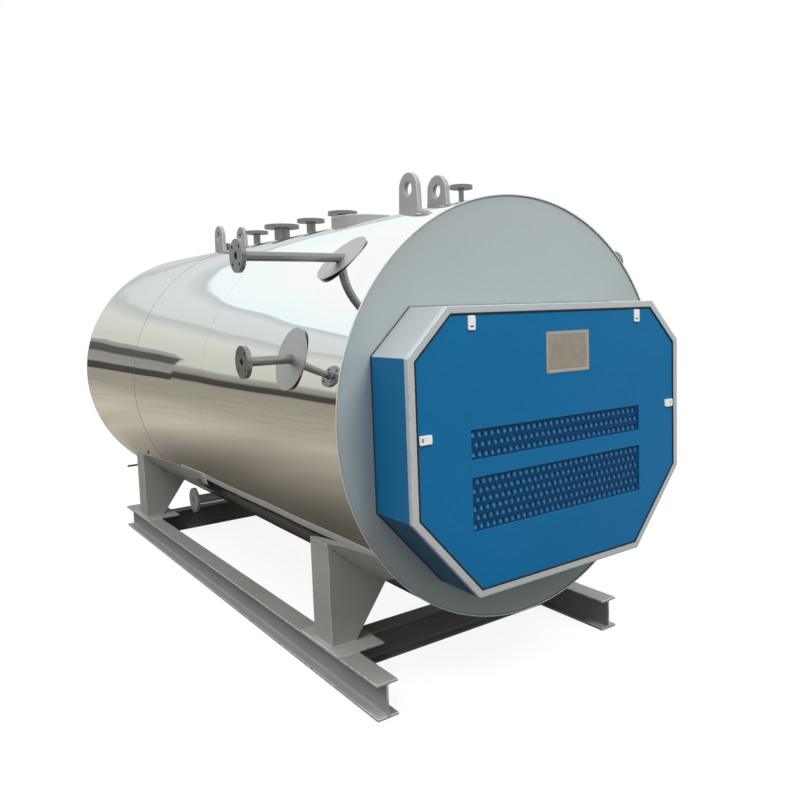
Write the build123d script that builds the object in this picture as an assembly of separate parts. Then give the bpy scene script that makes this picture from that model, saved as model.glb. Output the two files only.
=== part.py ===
from build123d import *
import os
from math import asin, cos, sin, sqrt

# Horizontal electric boiler on a steel skid, in millimetres, Z up.
# The boiler axis runs along Y, the terminal hood is at the front (low Y).
# Heights start at the floor. Y starts at the face of the front head plate,
# and the finished pieces are then centred on the whole length.

# Shell
shell_radius = 800.0
shell_length = 3600.0
shell_clearance = 280.0
cladding_thickness = 2.0
cladding_rim = 4.0
front_seam = 0.357 * shell_length
rear_seam = 0.667 * shell_length
seam_lap = 25.0
head_plate_thickness = 6.0
fit_clearance = 0.3
hole_clearance = 1.5

# Pressure drum inside the lagging
lagging_thickness = 100.0
drum_wall = 12.0
drum_end_gap = 60.0
drum_end_plate = 20.0

# Skid
beam_height = 136.0
beam_width = 88.0
beam_web = 7.0
beam_flange = 9.0
beam_root_radius = 7.0
beam_inset = 24.0
beam_setback = 100.0

# Legs
leg_inset = 191.0
leg_foot_width = 109.0
leg_head_width = 262.0
leg_depth = 150.0
leg_plate = 10.0
front_leg_setback = 472.0
rear_leg_setback = 385.0
pad_thickness = 6.0
pad_overhang = 94.0
pad_inner_overhang = 75.0
pad_outer_overhang = 18.0

# Terminal hood on the front head, heights measured from the boiler axis
hood_depth = 220.0
hood_side_inset = 140.0
hood_top_slope = 158.0
hood_bottom_slope = 258.0
hood_top_rise = 393.0
hood_shoulder_rise = 234.0
hood_knee_drop = 290.0
hood_bottom_drop = 588.0
hood_sheet = 3.0
frame_width = 26.0
frame_depth = 20.0
rebate_width = 16.0
cover_thickness = 4.0
cover_recess = 2.0
cover_gap = 3.0

# Vents in the cover
vent_width = 840.0
upper_vent_height = 100.0
upper_vent_drop = 66.0
upper_vent_rows = 3
lower_vent_height = 182.0
lower_vent_drop = 267.0
lower_vent_rows = 6
vent_columns = 30
vent_hole_radius = 10.5
grille_thickness = 2.0
grille_border = 12.0
baffle_depth = 8.0
baffle_sheet = 2.0
baffle_room = 4.0

# Nameplate and clips on the cover
plate_width = 215.0
plate_height = 148.0
plate_thickness = 2.0
plate_x = 32.0
plate_rise = 219.0
clip_length = 48.0
clip_width = 30.0
clip_thickness = 6.0
clip_radius = 4.0
clip_slot_length = 12.0
clip_slot_width = 4.0
clip_slot_margin = 12.0
clip_edge_gap = 4.0
top_clip_inset = 94.0
side_clip_drop = 25.0

# Lifting lugs
lug_spacing = 150.0
lug_width = 150.0
lug_top_radius = 68.0
lug_thickness = 22.0
lug_rise = 168.0
lug_hole_radius = 30.0
front_lug_setback = 610.0
rear_lug_setback = 708.0

# Flanges by nominal bore: pipe outside, pipe wall, flange outside, flange thickness,
# bolt circle, bolt hole
flange_sizes = {
    "DN15": (21.3, 2.8, 95.0, 14.0, 65.0, 14.0),
    "DN25": (33.7, 3.2, 115.0, 16.0, 85.0, 14.0),
    "DN32": (42.4, 3.5, 140.0, 18.0, 100.0, 18.0),
    "DN40": (48.3, 3.5, 150.0, 18.0, 110.0, 18.0),
    "DN50": (60.3, 4.0, 165.0, 18.0, 125.0, 18.0),
    "DN80": (88.9, 4.5, 200.0, 20.0, 160.0, 18.0),
}
flange_bolt_counts = {"DN15": 4, "DN25": 4, "DN32": 4, "DN40": 4, "DN50": 4, "DN80": 8}

# Nozzles along the crown, from the rear: name, nominal bore, distance from the front head,
# height of the flange's face over the crown
safety_bore = "DN40"
second_safety_y = 0.374 * shell_length
crown_nozzles = [
    ("feed_water_nozzle", "DN32", 0.683 * shell_length, 96.0),
    ("steam_outlet_nozzle", "DN80", 0.579 * shell_length, 96.0),
    ("first_safety_valve_nozzle", safety_bore, 0.474 * shell_length, 90.0),
    ("second_safety_valve_nozzle", safety_bore, second_safety_y, 90.0),
    ("gauge_nozzle", "DN15", 0.096 * shell_length, 82.0),
]

# Handhole on the crown, just in front of the second safety valve's pipe: a thick ring
# with a bolted lid let into it
handhole_gap = 26.05
handhole_radius = 155.0
handhole_wall = 16.0
handhole_rise = 38.0
lid_recess = 20.0
lid_thickness = 18.0
lid_bolt_count = 8
lid_bolt_circle = 114.0
lid_bolt_radius = 14.0
lid_bolt_head = 10.0

# Small fittings
crown_ring_y = 472.0
crown_ring_offset = 0.16 * shell_radius
crown_ring_radius = 38.0
crown_ring_bore = 30.0
crown_ring_thickness = 3.0
vent_plug_setback = 640.0
vent_plug_radius = 12.0
vent_plug_cap_radius = 16.0
vent_plug_cap = 24.0
vent_plug_rise = 62.0
stub_setback = 270.0
stub_drop = 0.7875 * shell_radius
stub_radius = 7.0
stub_bore = 4.0
stub_standout = 152.0

# Level gauge nozzles on both sides
level_bore = "DN25"
level_y = 370.0
level_standout = 153.0
upper_level_rise = 0.7275 * shell_radius
lower_level_rise = 0.275 * shell_radius
rosette_radius = 115.0
rosette_thickness = 2.0

# Drain
drain_bore = "DN50"
drain_setback = 650.0
drain_offset = 150.0
drain_height = 227.0
drain_reach = 337.0

# Places that follow from the sizes above
axis_height = shell_radius + shell_clearance
crown_height = axis_height + shell_radius
drum_radius = shell_radius - lagging_thickness
cover_front = cover_recess - hood_depth
cover_back = cover_front + cover_thickness
front_end = cover_front - clip_thickness
rear_end = shell_length + cladding_rim
centre_y = (front_end + rear_end) / 2
leg_outer = shell_radius - leg_inset
leg_foot_height = beam_height + pad_thickness
beam_middle = leg_outer - beam_inset
inner_edge = beam_middle - beam_width / 2
front_leg_y = front_leg_setback
rear_leg_y = shell_length - rear_leg_setback - leg_depth
hood_half_width = shell_radius - hood_side_inset
hood_top_half = hood_half_width - hood_top_slope
hood_bottom_half = hood_half_width - hood_bottom_slope
front_lug_y = front_lug_setback
rear_lug_y = shell_length - rear_lug_setback
handhole_y = second_safety_y - flange_sizes[safety_bore][0] / 2 - handhole_gap - handhole_radius
vent_plug_y = shell_length - vent_plug_setback
stub_y = shell_length - stub_setback
stub_reach = sqrt(shell_radius**2 - stub_drop**2) + stub_standout
level_reach = shell_radius + level_standout
drain_y = shell_length - drain_setback


def prism_y(section, start, end):
    # A section drawn in X and Z, made solid from one Y to another
    return Pos(0, start, 0) * extrude(Plane.XZ * section, end - start, dir=(0, 1, 0))


def prism_x(section, start, end):
    # A section drawn in Y and Z, made solid from one X to another
    return Pos(start, 0, 0) * extrude(Plane.YZ * section, end - start, dir=(1, 0, 0))


def prism_z(section, start, end):
    # A section drawn in X and Y, made solid from one Z to another
    return Pos(0, 0, start) * extrude(section, end - start, dir=(0, 0, 1))


def barrel(radius, start, end):
    # A round bar on the boiler axis
    return prism_y(Pos(0, axis_height) * Circle(radius), start, end)


def write(name, *solids):
    # Writes a piece, centred on the length of the boiler
    placed = [Pos(0, -centre_y, 0) * solid for solid in solids]
    shape = placed[0] if len(placed) == 1 else Compound(children=placed)
    export_step(shape, os.path.join("parts", name + ".step"))


def both_sides(solid):
    return solid, mirror(solid, about=Plane.YZ)


# Steel skid: two long beams and two cross beams
def beam_section():
    side = Rectangle((beam_width - beam_web) / 2, beam_height - 2 * beam_flange)
    offset_x = (beam_width + beam_web) / 4
    section = Rectangle(beam_width, beam_height) - Pos(offset_x, 0) * side - Pos(-offset_x, 0) * side
    roots = [v for v in section.vertices() if abs(v.X) < beam_width / 2 - beam_root_radius]
    return fillet(roots, beam_root_radius)


def long_beam():
    section = Pos(-beam_middle, beam_height / 2) * beam_section()
    return prism_y(section, beam_setback, shell_length - beam_setback)


def cross_beam(middle):
    # The flanges stop at the long beams and the web runs on to their webs
    section = Pos(middle, beam_height / 2) * beam_section()
    beam = prism_x(section, -inner_edge, inner_edge)
    web_reach = beam_middle - beam_web / 2
    web_height = beam_height - 2 * (beam_flange + beam_root_radius)
    web = Pos(0, middle, beam_height / 2) * Box(2 * web_reach, beam_web, web_height)
    return beam + web


# Legs: folded channels, open inwards, cut to the shell, each on a base pad
def leg(front):
    outer = -leg_outer
    foot = outer + leg_foot_width
    head = outer + leg_head_width
    head_height = axis_height - sqrt(shell_radius**2 - head**2)
    web = Polygon(
        (outer, leg_foot_height),
        (foot, leg_foot_height),
        (head, head_height),
        (head, axis_height),
        (outer, axis_height),
        align=None,
    )
    back = front + leg_depth
    side = Pos(outer + leg_plate / 2, (leg_foot_height + axis_height) / 2)
    side *= Rectangle(leg_plate, axis_height - leg_foot_height)
    body = prism_y(web, front, front + leg_plate) + prism_y(web, back - leg_plate, back)
    body += prism_y(side, front, back)
    return body - barrel(shell_radius + fit_clearance, 0, shell_length)


def base_pad(front):
    outer = -leg_outer - pad_outer_overhang
    inner = -leg_outer + leg_foot_width + pad_inner_overhang
    length = leg_depth + 2 * pad_overhang
    middle = front + leg_depth / 2
    height = beam_height + pad_thickness / 2
    return Pos((outer + inner) / 2, middle, height) * Box(inner - outer, length, pad_thickness)


# Fittings on the drum
def flanged_pipe(bore, length):
    # A pipe along Z whose flange face is at the top, at height 0
    outside, wall, flange, thickness, circle, bolt_hole = flange_sizes[bore]
    bolts = flange_bolt_counts[bore]
    body = prism_z(Circle(outside / 2), -length, 0) + prism_z(Circle(flange / 2), -thickness, 0)
    body -= prism_z(Circle(outside / 2 - wall), -length, 0)
    hole = prism_z(Circle(bolt_hole / 2), -thickness, 0)
    places = PolarLocations(circle / 2, bolts, start_angle=180 / bolts)
    return body - [place * hole for place in places]


def pipe_radius(bore):
    return flange_sizes[bore][0] / 2


def bore_radius(bore):
    return pipe_radius(bore) - flange_sizes[bore][1]


drum_space = barrel(drum_radius + fit_clearance, 0, shell_length)


def crown_nozzle(bore, place, rise):
    return Pos(0, place, crown_height + rise) * flanged_pipe(bore, shell_radius + rise) - drum_space


def level_nozzle(rise):
    place = Pos(-level_reach, level_y, axis_height + rise) * Rot(0, -90, 0)
    return place * flanged_pipe(level_bore, level_reach) - drum_space


def level_pipe_space(rise, radius):
    return Pos(-level_reach / 2, level_y, axis_height + rise) * Rot(0, 90, 0) * Cylinder(radius, level_reach)


def rosette(rise):
    # A flat disc touching the shell where the pipe comes out
    angle = asin(rise / shell_radius)
    outward = Vector(-cos(angle), 0, sin(angle))
    seat = Vector(0, level_y, axis_height) + outward * (shell_radius + fit_clearance)
    plane = Plane(seat, x_dir=(0, 1, 0), z_dir=outward)
    disc = plane * prism_z(Circle(rosette_radius), 0, rosette_thickness)
    return disc - level_pipe_space(rise, pipe_radius(level_bore) + fit_clearance)


def drain_bar(radius):
    # A round bar from the drum down and out to the drain's flange, mitred at the corner
    top = (-drain_offset, drain_y, axis_height - drum_radius / 2)
    corner = (-drain_offset, drain_y, drain_height)
    path = Polyline(top, corner, (-drain_reach, drain_y, drain_height))
    start = Plane(path @ 0, z_dir=path % 0)
    return sweep(start * Circle(radius), path=path, transition=Transition.RIGHT)


def drain():
    thickness = flange_sizes[drain_bore][3]
    mouth = Pos(-drain_reach, drain_y, drain_height) * Rot(0, -90, 0)
    body = drain_bar(pipe_radius(drain_bore)) + mouth * flanged_pipe(drain_bore, thickness)
    return body - drain_bar(bore_radius(drain_bore)) - drum_space


def handhole():
    top = Pos(0, handhole_y, crown_height + handhole_rise)
    inside = handhole_radius - handhole_wall
    body = prism_z(Circle(handhole_radius) - Circle(inside), -(shell_radius + handhole_rise), 0)
    body += prism_z(Circle(inside), -lid_recess - lid_thickness, -lid_recess)
    bolt = prism_z(RegularPolygon(lid_bolt_radius, 6), -lid_recess, lid_bolt_head - lid_recess)
    body += [place * bolt for place in PolarLocations(lid_bolt_circle, lid_bolt_count)]
    return top * body - drum_space


def lug(place):
    # A plate that narrows to a round top, with an eye at the centre of the rounding
    round_height = crown_height + lug_rise - lug_top_radius
    foot = Pos(place, axis_height + shell_radius / 2) * Rectangle(lug_width, shell_radius)
    eye = Pos(place, round_height) * Circle(lug_hole_radius)
    rounding = Pos(place, round_height) * Circle(lug_top_radius)
    plate = make_hull([*foot.edges(), *rounding.edges()]) - eye
    middle = -lug_spacing / 2
    return prism_x(plate, middle - lug_thickness / 2, middle + lug_thickness / 2) - drum_space


def lug_slot(place):
    size = 2 * hole_clearance
    height = shell_radius + lug_rise
    box = Box(lug_thickness + size, lug_width + size, height)
    return Pos(-lug_spacing / 2, place, axis_height + height / 2) * box


def vent_plug():
    foot = prism_z(Circle(vent_plug_radius), -(shell_radius + vent_plug_rise), 0)
    cap = prism_z(RegularPolygon(vent_plug_cap_radius, 6), -vent_plug_cap, 0)
    return Pos(0, vent_plug_y, crown_height + vent_plug_rise) * (foot + cap) - drum_space


def sampling_stub():
    ring = Circle(stub_radius) - Circle(stub_bore)
    place = Pos(stub_y, axis_height - stub_drop)
    return prism_x(place * ring, -stub_reach, 0) - drum_space


def crown_ring():
    # A flat ring on the shoulder of the shell, beside the front lugs
    angle = asin(crown_ring_offset / shell_radius)
    outward = Vector(-sin(angle), 0, cos(angle))
    seat = Vector(0, crown_ring_y, axis_height) + outward * (shell_radius + fit_clearance)
    plane = Plane(seat, x_dir=(0, 1, 0), z_dir=outward)
    return plane * prism_z(Circle(crown_ring_radius) - Circle(crown_ring_bore), 0, crown_ring_thickness)


# Spaces that the fittings need in the cladding
def upright_hole(place, radius):
    return Pos(0, place, crown_height) * Cylinder(radius, shell_radius)


def cladding_holes():
    holes = [upright_hole(place, pipe_radius(bore) + hole_clearance) for _, bore, place, _ in crown_nozzles]
    holes.append(upright_hole(handhole_y, handhole_radius + hole_clearance))
    holes.append(upright_hole(vent_plug_y, vent_plug_radius + hole_clearance))
    drain_hole = Cylinder(pipe_radius(drain_bore) + hole_clearance, shell_radius)
    holes.append(Pos(-drain_offset, drain_y, axis_height - shell_radius) * drain_hole)
    stub_hole = Pos(stub_y, axis_height - stub_drop) * Circle(stub_radius + hole_clearance)
    holes.append(prism_x(stub_hole, -shell_radius, 0))
    for rise in (upper_level_rise, lower_level_rise):
        holes.extend(both_sides(level_pipe_space(rise, pipe_radius(level_bore) + hole_clearance)))
    for place in (front_lug_y, rear_lug_y):
        holes.extend(both_sides(lug_slot(place)))
    return holes


def strake(radius, start, end):
    # One band of cladding with the holes that fall in it
    body = barrel(radius, start, end) - barrel(radius - cladding_thickness, start, end)
    return body - cladding_holes()


def head_plate(start):
    radius = shell_radius - cladding_thickness - fit_clearance
    return barrel(radius, start, start + head_plate_thickness)


# Pressure drum with flat end plates, open at the nozzles
def drum():
    inside_start = drum_end_gap + drum_end_plate
    body = barrel(drum_radius, drum_end_gap, shell_length - drum_end_gap)
    body -= barrel(drum_radius - drum_wall, inside_start, shell_length - inside_start)
    bores = [upright_hole(place, bore_radius(bore)) for _, bore, place, _ in crown_nozzles]
    bores.append(upright_hole(handhole_y, handhole_radius - handhole_wall))
    drain_hole = Cylinder(bore_radius(drain_bore), shell_radius)
    bores.append(Pos(-drain_offset, drain_y, axis_height - shell_radius) * drain_hole)
    for rise in (upper_level_rise, lower_level_rise):
        bores.extend(both_sides(level_pipe_space(rise, bore_radius(level_bore))))
    return body - bores


# Octagonal terminal hood
def octagon(inset=0.0):
    points = [
        (hood_top_half, axis_height + hood_top_rise),
        (hood_half_width, axis_height + hood_shoulder_rise),
        (hood_half_width, axis_height - hood_knee_drop),
        (hood_bottom_half, axis_height - hood_bottom_drop),
    ]
    mirrored = [(-x, z) for x, z in reversed(points)]
    outline = Polygon(*points, *mirrored, align=None)
    return offset(outline, -inset, kind=Kind.INTERSECTION) if inset else outline


def hood_band(low, high, left, right):
    # The part of the hood's sheet between two heights and two sides
    ring = octagon() - octagon(hood_sheet)
    window = Pos((left + right) / 2, axis_height + (low + high) / 2) * Rectangle(right - left, high - low)
    return prism_y(ring & window, frame_depth - hood_depth, 0)


def hood_frame():
    lip = octagon() - octagon(frame_width)
    rebate = octagon(hood_sheet) - octagon(frame_width + rebate_width)
    frame_back = frame_depth - hood_depth
    return prism_y(lip, -hood_depth, frame_back) + prism_y(rebate, cover_back, frame_back)


def window(height, drop, border=0.0):
    return Pos(0, axis_height - drop) * Rectangle(vent_width + 2 * border, height + 2 * border)


vents = [
    ("vent_grille_upper", upper_vent_height, upper_vent_drop, upper_vent_rows),
    ("vent_grille_lower", lower_vent_height, lower_vent_drop, lower_vent_rows),
]


def hood_cover():
    panel = octagon(frame_width + cover_gap)
    for _, height, drop, _ in vents:
        panel -= window(height, drop)
    return prism_y(panel, cover_front, cover_back)


def grille(height, drop, rows):
    # A perforated sheet, each row of holes shifted half a pitch from the next
    pitch = vent_width / (vent_columns + 0.5)
    row_pitch = height / rows
    hole = RegularPolygon(vent_hole_radius, 6)
    holes = []
    for row in range(rows):
        shift = pitch / 4 if row % 2 else -pitch / 4
        z = axis_height - drop + (row - (rows - 1) / 2) * row_pitch
        for column in range(vent_columns):
            x = shift + (column - (vent_columns - 1) / 2) * pitch
            holes.append(Pos(x, z) * hole)
    sheet = window(height, drop, grille_border) - holes
    return prism_y(sheet, cover_back, cover_back + grille_thickness)


def baffle(height, drop):
    # A channel behind the vent, its edges on the back of the cover
    outside = height + 2 * (grille_border + baffle_room + baffle_sheet)
    section = Rectangle(baffle_depth, outside)
    section -= Pos(-baffle_sheet, 0) * Rectangle(baffle_depth, outside - 2 * baffle_sheet)
    section = Pos(cover_back + baffle_depth / 2, axis_height - drop) * section
    half = vent_width / 2 + grille_border
    return prism_x(section, -half, half)


def nameplate():
    place = Pos(plate_x, axis_height + plate_rise)
    return prism_y(place * Rectangle(plate_width, plate_height), cover_front - plate_thickness, cover_front)


def clip(x, rise, angle):
    # A moulded clip with a slot near its inner end, turned to its edge of the cover
    base = RectangleRounded(clip_width, clip_length, clip_radius)
    slot = Pos(0, clip_slot_margin - clip_length / 2) * Rectangle(clip_slot_length, clip_slot_width)
    body = prism_z(base, 0, clip_thickness) - prism_z(slot, clip_thickness / 2, clip_thickness)
    seat = Plane((x, cover_front, axis_height + rise), x_dir=(1, 0, 0), z_dir=(0, -1, 0))
    return seat * (Rot(0, 0, angle) * body)


def cover_clips():
    inset = frame_width + cover_gap + clip_edge_gap + clip_length / 2
    top = hood_top_rise - inset
    side = hood_half_width - inset
    across = hood_top_half - top_clip_inset
    top_clips = [clip(x, top, 0) for x in (-across, across)]
    return [*top_clips, clip(-side, -side_clip_drop, 90), clip(side, -side_clip_drop, -90)]


os.makedirs("parts", exist_ok=True)

for name, solid in zip(("skid_beam_left", "skid_beam_right"), both_sides(long_beam())):
    write(name, solid)
write("cross_beam_front", cross_beam(front_leg_y + leg_depth / 2))
write("cross_beam_rear", cross_beam(rear_leg_y + leg_depth / 2))

pads = []
for end, front in (("front", front_leg_y), ("rear", rear_leg_y)):
    for side, solid in zip(("left", "right"), both_sides(leg(front))):
        write(f"leg_{end}_{side}", solid)
    pads.extend(both_sides(base_pad(front)))
write("leg_base_pads", *pads)

middle_radius = shell_radius - cladding_thickness - fit_clearance
write("cladding_front", strake(shell_radius, -cladding_rim, front_seam))
write("cladding_middle", strake(middle_radius, front_seam - seam_lap, rear_seam + seam_lap))
write("cladding_rear", strake(shell_radius, rear_seam, shell_length + cladding_rim))
write("front_head_plate", head_plate(0))
write("rear_head_plate", head_plate(shell_length - head_plate_thickness))
write("pressure_drum", drum())

write("hood_upper_casing", hood_band(hood_shoulder_rise, hood_top_rise, -hood_half_width, hood_half_width))
write("hood_left_side", hood_band(-hood_knee_drop, hood_shoulder_rise, -hood_half_width, 0))
write("hood_right_side", hood_band(-hood_knee_drop, hood_shoulder_rise, 0, hood_half_width))
write("hood_lower_casing", hood_band(-hood_bottom_drop, -hood_knee_drop, -hood_half_width, hood_half_width))
write("hood_front_frame", hood_frame())
write("hood_cover", hood_cover())
for name, height, drop, rows in vents:
    write(name, grille(height, drop, rows))
write("vent_baffles", *[baffle(height, drop) for _, height, drop, _ in vents])
write("nameplate", nameplate())
write("cover_clips", *cover_clips())

for end, place in (("front", front_lug_y), ("rear", rear_lug_y)):
    for side, solid in zip(("left", "right"), both_sides(lug(place))):
        write(f"lifting_lug_{end}_{side}", solid)
for name, bore, place, rise in crown_nozzles:
    write(name, crown_nozzle(bore, place, rise))
write("crown_handhole", handhole())
write("crown_ring", crown_ring())
write("vent_plug", vent_plug())
write("sampling_stub", sampling_stub())

rosettes = []
for level, rise in (("upper", upper_level_rise), ("lower", lower_level_rise)):
    for side, solid in zip(("left", "right"), both_sides(level_nozzle(rise))):
        write(f"level_nozzle_{level}_{side}", solid)
    rosettes.extend(both_sides(rosette(rise)))
write("nozzle_rosettes", *rosettes)
write("drain_nozzle", drain())
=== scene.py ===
from math import atan2, pi, radians, sqrt

import bmesh
import bpy
from mathutils import Matrix, Vector


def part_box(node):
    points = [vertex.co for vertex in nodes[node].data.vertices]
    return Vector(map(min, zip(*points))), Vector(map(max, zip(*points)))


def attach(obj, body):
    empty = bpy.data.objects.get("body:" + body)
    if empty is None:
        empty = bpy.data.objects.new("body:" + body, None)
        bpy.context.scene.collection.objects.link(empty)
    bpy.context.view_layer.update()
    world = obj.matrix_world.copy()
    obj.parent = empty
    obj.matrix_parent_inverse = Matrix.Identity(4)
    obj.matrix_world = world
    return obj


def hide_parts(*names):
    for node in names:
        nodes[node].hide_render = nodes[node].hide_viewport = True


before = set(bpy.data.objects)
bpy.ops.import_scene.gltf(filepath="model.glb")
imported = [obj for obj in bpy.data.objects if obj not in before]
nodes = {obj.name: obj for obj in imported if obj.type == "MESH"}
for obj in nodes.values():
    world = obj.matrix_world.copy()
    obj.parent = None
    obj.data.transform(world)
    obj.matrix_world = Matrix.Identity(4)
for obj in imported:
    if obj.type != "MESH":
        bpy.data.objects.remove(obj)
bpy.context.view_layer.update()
print("boiler frame loaded,", len(nodes), "pieces")


# hand tools

squareOn = 0.9  # a direction with this share of itself along an axis counts as running along it
sheetAngle = 35  # edges that turn more than this stay sharp on sheets and blocks
beadAngle = 70  # and more than this on beads and welds


def clearSelection():
    if bpy.context.object and bpy.context.object.mode != "OBJECT":
        bpy.ops.object.mode_set(mode="OBJECT")
    bpy.ops.object.select_all(action="DESELECT")


def takeUp(piece):  # makes one piece the only selected and active one
    clearSelection()
    piece.select_set(True)
    bpy.context.view_layer.objects.active = piece


def openPiece(piece):
    takeUp(piece)
    bpy.ops.object.mode_set(mode="EDIT")


def closePiece():
    bpy.ops.object.mode_set(mode="OBJECT")


def pick(piece, kind, test):  # selects the faces, edges or points that pass the test
    bpy.ops.mesh.select_mode(type=kind)
    bpy.ops.mesh.select_all(action="DESELECT")
    shape = bmesh.from_edit_mesh(piece.data)
    items = {"VERT": shape.verts, "EDGE": shape.edges, "FACE": shape.faces}[kind]
    for item in items:
        if test(item):
            item.select_set(True)
    shape.select_flush_mode()
    bmesh.update_edit_mesh(piece.data)


def runsAlongY(edge):
    way = edge.verts[1].co - edge.verts[0].co
    return abs(way.normalized().y) > squareOn


def newPiece(name):  # names the primitive just added and puts its place into its mesh
    piece = bpy.context.object
    piece.name = name
    takeUp(piece)
    bpy.ops.object.transform_apply(location=True, rotation=True, scale=True)
    return piece


def newBlock(name, place, size):
    clearSelection()
    bpy.ops.mesh.primitive_cube_add(size=1, location=place, scale=size)
    return newPiece(name)


def newBar(name, place, radius, length, around, caps="NGON", turn=(radians(90), 0, 0)):
    clearSelection()  # unless another turn is given, the bar lies along Y
    bpy.ops.mesh.primitive_cylinder_add(vertices=around, radius=radius, depth=length, end_fill_type=caps,
                                        location=place, rotation=turn)
    return newPiece(name)


def roundCorners(piece, radius, steps):  # rounds the edges that run along Y
    openPiece(piece)
    pick(piece, "EDGE", runsAlongY)
    bpy.ops.mesh.bevel(offset=radius, segments=steps)
    closePiece()


def applyModifier(piece, kind, **values):
    takeUp(piece)
    modifier = piece.modifiers.new(kind.title(), kind)
    for key, value in values.items():
        setattr(modifier, key, value)
    bpy.ops.object.modifier_apply(modifier=modifier.name)


def repeatPiece(piece, count, step):  # copies a piece in a row, one step apart
    applyModifier(piece, "ARRAY", count=count, use_relative_offset=False, use_constant_offset=True,
                  constant_offset_displace=step)


def cutAway(piece, cutter):
    applyModifier(piece, "BOOLEAN", operation="DIFFERENCE", object=cutter, solver="EXACT")
    bpy.data.objects.remove(cutter)


def turnOutward():  # in edit mode, points all faces outwards
    bpy.ops.mesh.select_all(action="SELECT")
    bpy.ops.mesh.normals_make_consistent(inside=False)


def joinPieces(name, pieces):
    clearSelection()
    for piece in pieces:
        piece.select_set(True)
    bpy.context.view_layer.objects.active = pieces[0]
    bpy.ops.object.join()
    pieces[0].name = name
    return pieces[0]


def fitOut(piece, material, slotName, *standsFor, angle=sheetAngle):
    takeUp(piece)
    piece.data.materials.clear()
    piece.data.materials.append(material)
    bpy.ops.object.shade_smooth_by_angle(angle=radians(angle))
    applyModifier(piece, "WEIGHTED_NORMAL", keep_sharp=True)
    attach(piece, "root")
    if standsFor:
        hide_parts(*standsFor)


# shader tools

def addNode(tree, kind, **values):
    node = tree.nodes.new(kind)
    for key, value in values.items():
        if key in node.inputs:
            node.inputs[key].default_value = value
        else:
            setattr(node, key, value)
    return node


def feed(tree, socket, value):  # links an output to a socket, or sets the socket to a plain value
    if hasattr(value, "is_output"):
        tree.links.new(value, socket)
    else:
        socket.default_value = value


def math(tree, operation, first, second=None, clamp=False):
    node = addNode(tree, "ShaderNodeMath", operation=operation, use_clamp=clamp)
    for socket, value in zip(node.inputs, (first, second)):
        if value is not None:
            feed(tree, socket, value)
    return node.outputs[0]


def blendColors(tree, share, first, second):
    node = addNode(tree, "ShaderNodeMix", data_type="RGBA")
    for socket, value in zip((node.inputs[0], node.inputs[6], node.inputs[7]), (share, first, second)):
        feed(tree, socket, value)
    return node.outputs[2]


def scaleVector(tree, vector, factor):  # a colour or a vector times a number
    node = addNode(tree, "ShaderNodeVectorMath", operation="SCALE")
    feed(tree, node.inputs[0], vector)
    feed(tree, node.inputs["Scale"], factor)
    return node.outputs[0]


def stretchPlace(tree, place, stretch):
    node = addNode(tree, "ShaderNodeVectorMath", operation="MULTIPLY")
    feed(tree, node.inputs[0], place)
    feed(tree, node.inputs[1], stretch)
    return node.outputs[0]


def splitVector(tree, vector):
    node = addNode(tree, "ShaderNodeSeparateXYZ")
    feed(tree, node.inputs[0], vector)
    return node.outputs


def spread(tree, value, low, high, newLow=0.0, newHigh=1.0):
    node = addNode(tree, "ShaderNodeMapRange")
    feed(tree, node.inputs["Value"], value)
    for key, number in zip(("From Min", "From Max", "To Min", "To Max"), (low, high, newLow, newHigh)):
        node.inputs[key].default_value = number
    return node.outputs["Result"]


def noise(tree, place, scale, detail, roughness=0.55):
    node = addNode(tree, "ShaderNodeTexNoise", Detail=detail, Roughness=roughness)
    feed(tree, node.inputs["Scale"], scale)
    feed(tree, node.inputs["Vector"], place)
    return node.outputs["Fac"]


def ramp(tree, value, stops):
    node = addNode(tree, "ShaderNodeValToRGB")
    elements = node.color_ramp.elements
    while len(elements) < len(stops):
        elements.new(0.5)
    for element, (at, color) in zip(elements, stops):
        element.position = at
        element.color = (*color, 1)
    feed(tree, node.inputs["Fac"], value)
    return node.outputs["Color"]


def newGroup(name, inputs, outputs):
    group = bpy.data.node_groups.new(name, "ShaderNodeTree")
    for label, kind, value in inputs:
        socket = group.interface.new_socket(label, in_out="INPUT", socket_type=kind)
        if value is not None:
            socket.default_value = value
    for label, kind in outputs:
        group.interface.new_socket(label, in_out="OUTPUT", socket_type=kind)
    return group, addNode(group, "NodeGroupInput").outputs, addNode(group, "NodeGroupOutput").inputs


def useGroup(tree, group, **values):
    node = addNode(tree, "ShaderNodeGroup", node_tree=group)
    for key, value in values.items():
        feed(tree, node.inputs[key.replace("_", " ")], value)
    return node.outputs


driftValues = {"cloudDetail": 3.0, "cloudRoughness": 0.5, "cloudShare": 0.75, "speckSize": 420.0,
               "speckDetail": 2.0, "speckShare": 0.25, "noiseMiddle": 0.5, "swing": 2.0}


def makeToneDrift():  # broad uneven tone and fine specks over a colour
    group, entry, leave = newGroup(
        "toneDrift",
        [("Place", "NodeSocketVector", None), ("Color", "NodeSocketColor", (0.5, 0.5, 0.5, 1)),
         ("Cloud Size", "NodeSocketFloat", 3.0), ("Drift", "NodeSocketFloat", 0.1)],
        [("Color", "NodeSocketColor")])
    clouds = noise(group, entry["Place"], entry["Cloud Size"], driftValues["cloudDetail"],
                   driftValues["cloudRoughness"])
    specks = noise(group, entry["Place"], driftValues["speckSize"], driftValues["speckDetail"])
    both = math(group, "ADD", math(group, "MULTIPLY", clouds, driftValues["cloudShare"]),
                math(group, "MULTIPLY", specks, driftValues["speckShare"]))
    offset = math(group, "SUBTRACT", both, driftValues["noiseMiddle"])
    drift = math(group, "MULTIPLY", offset, entry["Drift"])
    factor = math(group, "ADD", math(group, "MULTIPLY", drift, driftValues["swing"]), 1.0)
    group.links.new(scaleVector(group, entry["Color"], factor), leave["Color"])
    return group


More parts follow.
